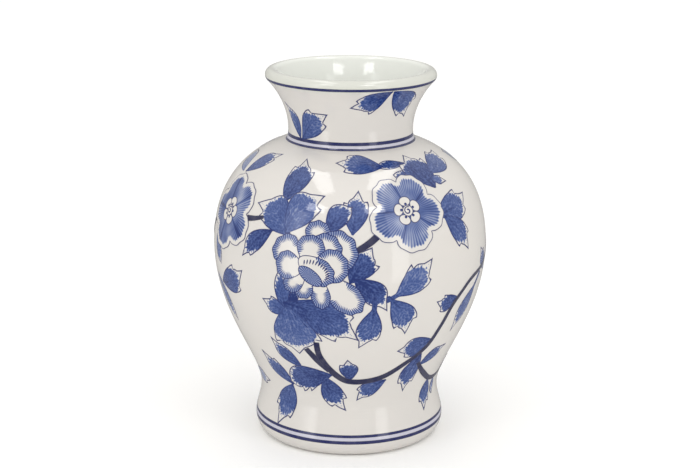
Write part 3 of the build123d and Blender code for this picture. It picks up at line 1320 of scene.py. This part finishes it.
class VASE_OT_prepare(bpy.types.Operator):
    """Lay out the wall's outline, the two geometry trees and the glazes"""

    bl_idname = "vase.prepare"
    bl_label = "Prepare Workshop"

    def execute(self, context):
        paint = context.scene.cobalt_paint
        outside, _ = wall_outline()
        curve = bpy.data.curves.new("Wall outline", "CURVE")
        curve.dimensions = "3D"
        spline = curve.splines.new("POLY")
        spline.points.add(len(outside) - 1)
        for point, (r, z) in zip(spline.points, outside):
            point.co = (r * MM, 0, z * MM, 1)
        guide = bpy.data.objects.new("Wall outline", curve)
        context.scene.collection.objects.link(guide)
        wheel_tree()
        wrapping_tree()
        glazed_porcelain()
        foot_porcelain()
        leaf_wash()
        petal_wash()
        comb_wash()
        line_ink("Cobalt brush line", paint.branch_ink, 1.0)
        line_ink("Cobalt wheel line", paint.wheel_ink, 1.0)
        line_ink("Cobalt tint", paint.tint, 0.95)
        return {"FINISHED"}


class VASE_OT_sections(bpy.types.Operator):
    """Throw the six porcelain sections on the wheel"""

    bl_idname = "vase.sections"
    bl_label = "Throw Porcelain Sections"

    def execute(self, context):
        wall = WallMap()
        ceiling, floor, edge = top("foot_ring"), top("base_floor"), reach("base_floor")
        seam, joint, lip = top("lower_body"), top("upper_body"), bottom("lip")
        rows = [edge * i / 10 for i in range(11)]
        sections = {
            "foot_ring": between(wall.outside, 0, ceiling) + [(44, ceiling)] + foot_recess(),
            "base_floor": [(r, ceiling) for r in rows] + [(r, floor) for r in reversed(rows)],
            "lower_body": between(wall.outside, ceiling, seam)
            + between(wall.inside, floor, seam)
            + [(edge, ceiling), (38.5, ceiling)],
            "upper_body": between(wall.outside, seam, joint) + between(wall.inside, seam, joint),
            "neck": between(wall.outside, joint, lip) + between(wall.inside, joint, lip),
            "lip": between(wall.outside, lip, top("lip")) + between(wall.inside, lip, top("lip"))[1:],
        }
        slots = {entry["node"]: entry["material_slot"] for entry in frame["record"]["subparts"]}
        for node, section in sections.items():
            mesh = bpy.data.meshes.new(node)
            edges = [(i, i + 1) for i in range(len(section) - 1)]
            mesh.from_pydata([(r * MM, 0, z * MM) for r, z in section], edges, [])
            material = "Ground porcelain foot" if node == "foot_ring" else "Glazed porcelain"
            values = {
                "Segments": context.scene.vase_wall.segments,
                "Material": bpy.data.materials[material],
            }
            made = made_by_tree(node + "_thrown", mesh, bpy.data.node_groups["Throwing wheel"], values)
            shade_like_wall(made, wall)
            deliver(node + "_thrown", made, slots[node], node)
        return {"FINISHED"}


class VASE_OT_turned_lines(bpy.types.Operator):
    """Turn the cobalt lines and tints on the wheel"""

    bl_idname = "vase.turned_lines"
    bl_label = "Turn Cobalt Lines"

    def execute(self, context):
        wall = WallMap()
        for entry in frame["record"]["subparts"]:
            node, slot = entry["node"], entry["material_slot"]
            if not slot.startswith("cobalt"):
                continue
            artwork = Artwork(wall)
            tinted = slot == "cobalt_tint"
            artwork.ring(wall.climb_to(bottom(node)), wall.climb_to(top(node)), 0.0 if tinted else 0.12)
            material = "Cobalt tint" if tinted else "Cobalt wheel line"
            painted(node + "_painted", artwork, material, node, slot=slot)
        return {"FINISHED"}


class VASE_OT_leaves(bpy.types.Operator):
    """Paint the leaves on the neck, the shoulder, round the flowers and on the branches"""

    bl_idname = "vase.leaves"
    bl_label = "Paint Leaves"

    def execute(self, context):
        wall = WallMap()
        for side, turn in SPRAY_SIDES.items():
            for name, (layer, *leaves) in LEAVES.items():
                artwork = Artwork(wall, turn)
                artwork.layer = layer
                for leaf in leaves:
                    artwork.leaf(*leaf)
                painted(f"{name}_{side}", artwork, "Cobalt leaf wash")
        return {"FINISHED"}


class VASE_OT_branches(bpy.types.Operator):
    """Paint the main branch and the twigs in blue-black"""

    bl_idname = "vase.branches"
    bl_label = "Paint Branches"

    def execute(self, context):
        wall = WallMap()
        for side, turn in SPRAY_SIDES.items():
            artwork = Artwork(wall, turn)
            artwork.layer = BRANCH_LAYER
            artwork.stroke(MAIN_BRANCH, MAIN_BRANCH_WIDTHS)
            for path, widths in TWIGS:
                artwork.layer = BRANCH_LAYER
                artwork.stroke(path, widths)
            painted(f"branches_{side}", artwork, "Cobalt brush line")
        return {"FINISHED"}


class VASE_OT_blossoms(bpy.types.Operator):
    """Paint the two open blossoms with their rosettes"""

    bl_idname = "vase.blossoms"
    bl_label = "Paint Blossoms"

    def paint_rosette(self, wall, turn, name, centre, radius, petals, spin):
        """White outlined lobes round a ring with a curled stamen."""
        scale = math.radians(1) * wall.radius(centre[1])
        artwork = Artwork(wall, turn)
        artwork.layer = 16
        artwork.bloom(centre, round_outline(radius * 0.25, radius * 0.25), 1.5, 9.0, 1)
        for i in range(petals):
            angle = math.radians(spin + 36 + 360 * i / petals)
            away = radius * 0.235
            lobe = (centre[0] + away * math.cos(angle) / scale, centre[1] + away * math.sin(angle))
            artwork.layer = 17 + i % 2
            tilt = spin + 36 + 360 * i / petals
            artwork.bloom(lobe, round_outline(radius * 0.125, radius * 0.155, tilt), 0.0, 0.0, 1)
            away = radius * 0.165
            dot = (centre[0] + away * math.cos(angle) / scale, centre[1] + away * math.sin(angle))
            artwork.layer = 20
            artwork.bloom(dot, round_outline(0.75, 0.75, steps=12), 1.5, 9.0, 1, rings=2)
        artwork.layer = 21
        artwork.bloom(centre, round_outline(radius * 0.14, radius * 0.14), 0.0, 0.0, 1)
        curl = []
        for i in range(15):
            away, angle = radius * 0.1 * (1 - i / 18), math.radians(spin + 30 * i)
            curl.append((centre[0] + away * math.cos(angle) / scale, centre[1] + away * math.sin(angle)))
        artwork.stroke(curl, (0.5, 0.7, 0.9))
        painted(name, artwork, "Cobalt comb border")

    def execute(self, context):
        wall = WallMap()
        for side, turn in SPRAY_SIDES.items():
            for name, (centre, radius, petals, spin, depth) in BLOSSOMS.items():
                artwork = Artwork(wall, turn)
                artwork.layer = BLOSSOM_LAYER
                outline = flower_outline(radius, petals, spin, 0.27)
                artwork.bloom(centre, outline, depth, 2.6, petals, radial=True, rings=12)
                painted(f"{name}_{side}", artwork, "Cobalt petal strokes")
                self.paint_rosette(wall, turn, f"{name}_rosette_{side}", centre, radius, petals, spin)
        return {"FINISHED"}


class VASE_OT_peony(bpy.types.Operator):
    """Paint the peony, petal over petal, and its seed pod"""

    bl_idname = "vase.peony"
    bl_label = "Paint Peony"

    def execute(self, context):
        wall = WallMap()
        for side, turn in SPRAY_SIDES.items():
            artwork = Artwork(wall, turn)
            artwork.layer = PEONY_LAYER
            scale = math.radians(1) * wall.radius(PEONY[1])
            for right, up, long, wide, heading in PEONY_PETALS:
                centre = (PEONY[0] + right / scale, PEONY[1] + up)
                outline = petal_outline(long, wide, heading)
                around = sum(math.dist(a, b) for a, b in zip(outline, outline[1:] + outline[:1]))
                artwork.bloom(centre, outline, 0.95, 2.9, round(around / 1.35), base=heading + 180)
            right, up, long, wide, tilt = SEED_POD
            centre = (PEONY[0] + right / scale, PEONY[1] + up)
            artwork.bloom(centre, round_outline(long, wide, tilt), 0.9, 6.0, 24)
            for i in range(13):
                angle = math.radians(tilt + 18 + 11 * i)
                lean = math.radians(tilt + 62 + 5 * i)
                near = (right + (long + 0.5) * math.cos(angle), up + (wide + 2.0) * math.sin(angle) + 0.6)
                step = (math.cos(lean), math.sin(lean))
                stroke = [(near[0] + t * step[0], near[1] + t * step[1]) for t in (0.0, 1.2, 2.4)]
                places_on_wall = [(PEONY[0] + x / scale, PEONY[1] + y) for x, y in stroke]
                artwork.layer = 25
                artwork.stroke(places_on_wall, (0.3, 0.7, 0.4))
            painted(f"peony_{side}", artwork, "Cobalt comb border")
        return {"FINISHED"}


class VASE_OT_stage(bpy.types.Operator):
    """Set up the floor, the softboxes and the camera"""

    bl_idname = "vase.stage"
    bl_label = "Set Up Stage"

    def execute(self, context):
        scene = context.scene
        studio = scene.vase_studio
        mesh = bpy.data.meshes.new("Studio floor")
        mesh.from_pydata([(-6, -6, 0), (6, -6, 0), (6, 6, 0), (-6, 6, 0)], [], [(0, 1, 2, 3)])
        floor = bpy.data.objects.new("Studio floor", mesh)
        scene.collection.objects.link(floor)
        material, tree = new_material("Pale studio floor")
        spot = places(tree)
        grain = add(tree, NOISE, inputs={"Vector": spot, "Scale": 1 / 200}).outputs[0]
        colour = add(
            tree,
            MIX,
            COLOUR,
            {"Factor": grain, "A": list(studio.floor_colour), "B": linear("#FDFDFC")},
        ).outputs["Result"]
        matt = add(tree, "ShaderNodeBsdfPrincipled", inputs={"Base Color": colour, "Roughness": 0.9})
        add(tree, "ShaderNodeOutputMaterial", inputs={"Surface": matt.outputs[0]})
        mesh.materials.append(material)
        floor.visible_glossy = False

        world = bpy.data.worlds.new("Soft dome")
        world.use_nodes = True
        world.node_tree.nodes.clear()
        sky = add(world.node_tree, "ShaderNodeTexCoord").outputs["Generated"]
        heading = add(world.node_tree, "ShaderNodeSeparateXYZ", inputs={0: sky}).outputs
        even = add(
            world.node_tree,
            RANGE,
            inputs={"Value": heading["Z"], "To Min": studio.dome_strength, "To Max": studio.zenith_strength},
        ).outputs[0]
        dimmed = add(
            world.node_tree, RANGE, inputs={"Value": heading["Y"], "To Min": 0.0, "To Max": 0.15}
        ).outputs[0]
        strength = add(world.node_tree, MATH, MINUS, {0: even, 1: dimmed} ).outputs[0]
        seen = add(world.node_tree, "ShaderNodeLightPath").outputs["Is Camera Ray"]
        shown = add(world.node_tree, MATH, {"operation": "MAXIMUM"}, {0: strength, 1: seen} ).outputs[0]
        dome = add(
            world.node_tree, "ShaderNodeBackground", inputs={"Color": linear("#FFFEFC"), "Strength": shown}
        )
        add(world.node_tree, "ShaderNodeOutputWorld", inputs={"Surface": dome.outputs[0]})
        scene.world = world

        aim = Vector((0, 0, 0.14))
        lamps = [
            ("Softbox left", (-0.30, -0.02, 1.15), (0.20, 0.80), studio.softbox_power, None),
            ("Softbox right", (0.315, 0.07, 1.15), (0.23, 0.78), studio.softbox_power, None),
            ("Front box left", (-0.57, -0.78, 1.06), (0.34, 0.20), studio.front_power, aim),
            ("Front box right", (0.42, -0.87, 1.06), (0.36, 0.20), studio.front_power, aim),
            ("Side card left", (-1.0, -0.90, 0.45), (0.55, 1.1), studio.card_power, aim),
            ("Side card right", (1.0, -0.90, 0.45), (0.55, 1.1), studio.card_power, aim),
        ]
        height, low = 1.7, 0.42
        for name, near, far, glow in (
            ("Window right", 33.5, 48.0, 1.0),
            ("Window left", -42.0, -50.0, 0.5),
            ("Window left soft", -40.0, -56.0, 0.4),
            ("Window left softest", -38.0, -62.0, 0.3),
        ):
            middle = math.radians((near + far) / 2)
            width = 2 * 1.5 * math.tan(math.radians(abs(far - near) / 2))
            place = (1.5 * math.sin(middle), -1.5 * math.cos(middle), low)
            power = studio.window_glow * glow * width * height
            lamps.append((name, place, (width, height), power, Vector((0, 0, low))))
        for name, place, size, power, target in lamps:
            light = bpy.data.lights.new(name, "AREA")
            light.shape = "RECTANGLE"
            light.size, light.size_y = size
            light.energy = power
            lamp = bpy.data.objects.new(name, light)
            lamp.location = place
            lamp.visible_diffuse = name.startswith("Side card")
            lamp.visible_glossy = not lamp.visible_diffuse
            if target:
                lamp.rotation_euler = (target - Vector(place)).to_track_quat("-Z", "Y").to_euler()
            scene.collection.objects.link(lamp)

        lens = bpy.data.cameras.new("Camera")
        lens.lens = studio.focal_length
        lens.clip_end = 50
        camera = bpy.data.objects.new("Camera", lens)
        camera.location = (0, -studio.camera_distance, studio.camera_height)
        level = Matrix.Rotation(math.pi / 2 - studio.camera_pitch, 3, "X")
        camera.rotation_euler = (level @ Matrix.Rotation(studio.camera_roll, 3, "Z")).to_euler()
        scene.collection.objects.link(camera)
        scene.camera = camera
        scene.view_settings.view_transform = "Standard"
        return {"FINISHED"}


class VASE_PT_workshop(bpy.types.Panel):
    """Steps of making and painting the vase"""

    bl_idname = "VASE_PT_workshop"
    bl_label = "Porcelain Vase"
    bl_space_type = "VIEW_3D"
    bl_region_type = "UI"
    bl_category = "Vase"

    def draw(self, context):
        for step in STEPS:
            self.layout.operator(step.bl_idname)
        for label, group in (
            ("Wall", context.scene.vase_wall),
            ("Paint", context.scene.cobalt_paint),
            ("Studio", context.scene.vase_studio),
        ):
            box = self.layout.box()
            box.label(text=label)
            for name in group.__annotations__:
                box.prop(group, name)


STEPS = (
    VASE_OT_prepare,
    VASE_OT_sections,
    VASE_OT_turned_lines,
    VASE_OT_leaves,
    VASE_OT_branches,
    VASE_OT_blossoms,
    VASE_OT_peony,
    VASE_OT_stage,
)
GROUPS = {"vase_wall": VaseWall, "cobalt_paint": CobaltPaint, "vase_studio": StudioSettings}


def register():
    for group in GROUPS.values():
        bpy.utils.register_class(group)
    for step in STEPS:
        bpy.utils.register_class(step)
    bpy.utils.register_class(VASE_PT_workshop)
    for name, group in GROUPS.items():
        setattr(bpy.types.Scene, name, bpy.props.PointerProperty(type=group))


def unregister():
    for name in GROUPS:
        delattr(bpy.types.Scene, name)
    bpy.utils.unregister_class(VASE_PT_workshop)
    for cls in reversed(STEPS + tuple(GROUPS.values())):
        bpy.utils.unregister_class(cls)


def main():
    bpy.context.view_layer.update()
    register()
    bpy.ops.vase.prepare()
    bpy.ops.vase.sections()
    bpy.ops.vase.turned_lines()
    bpy.ops.vase.leaves()
    bpy.ops.vase.branches()
    bpy.ops.vase.blossoms()
    bpy.ops.vase.peony()
    bpy.ops.vase.stage()
    bpy.data.objects.remove(bpy.data.objects["Wall outline"])


if __name__ == "__main__":
    main()
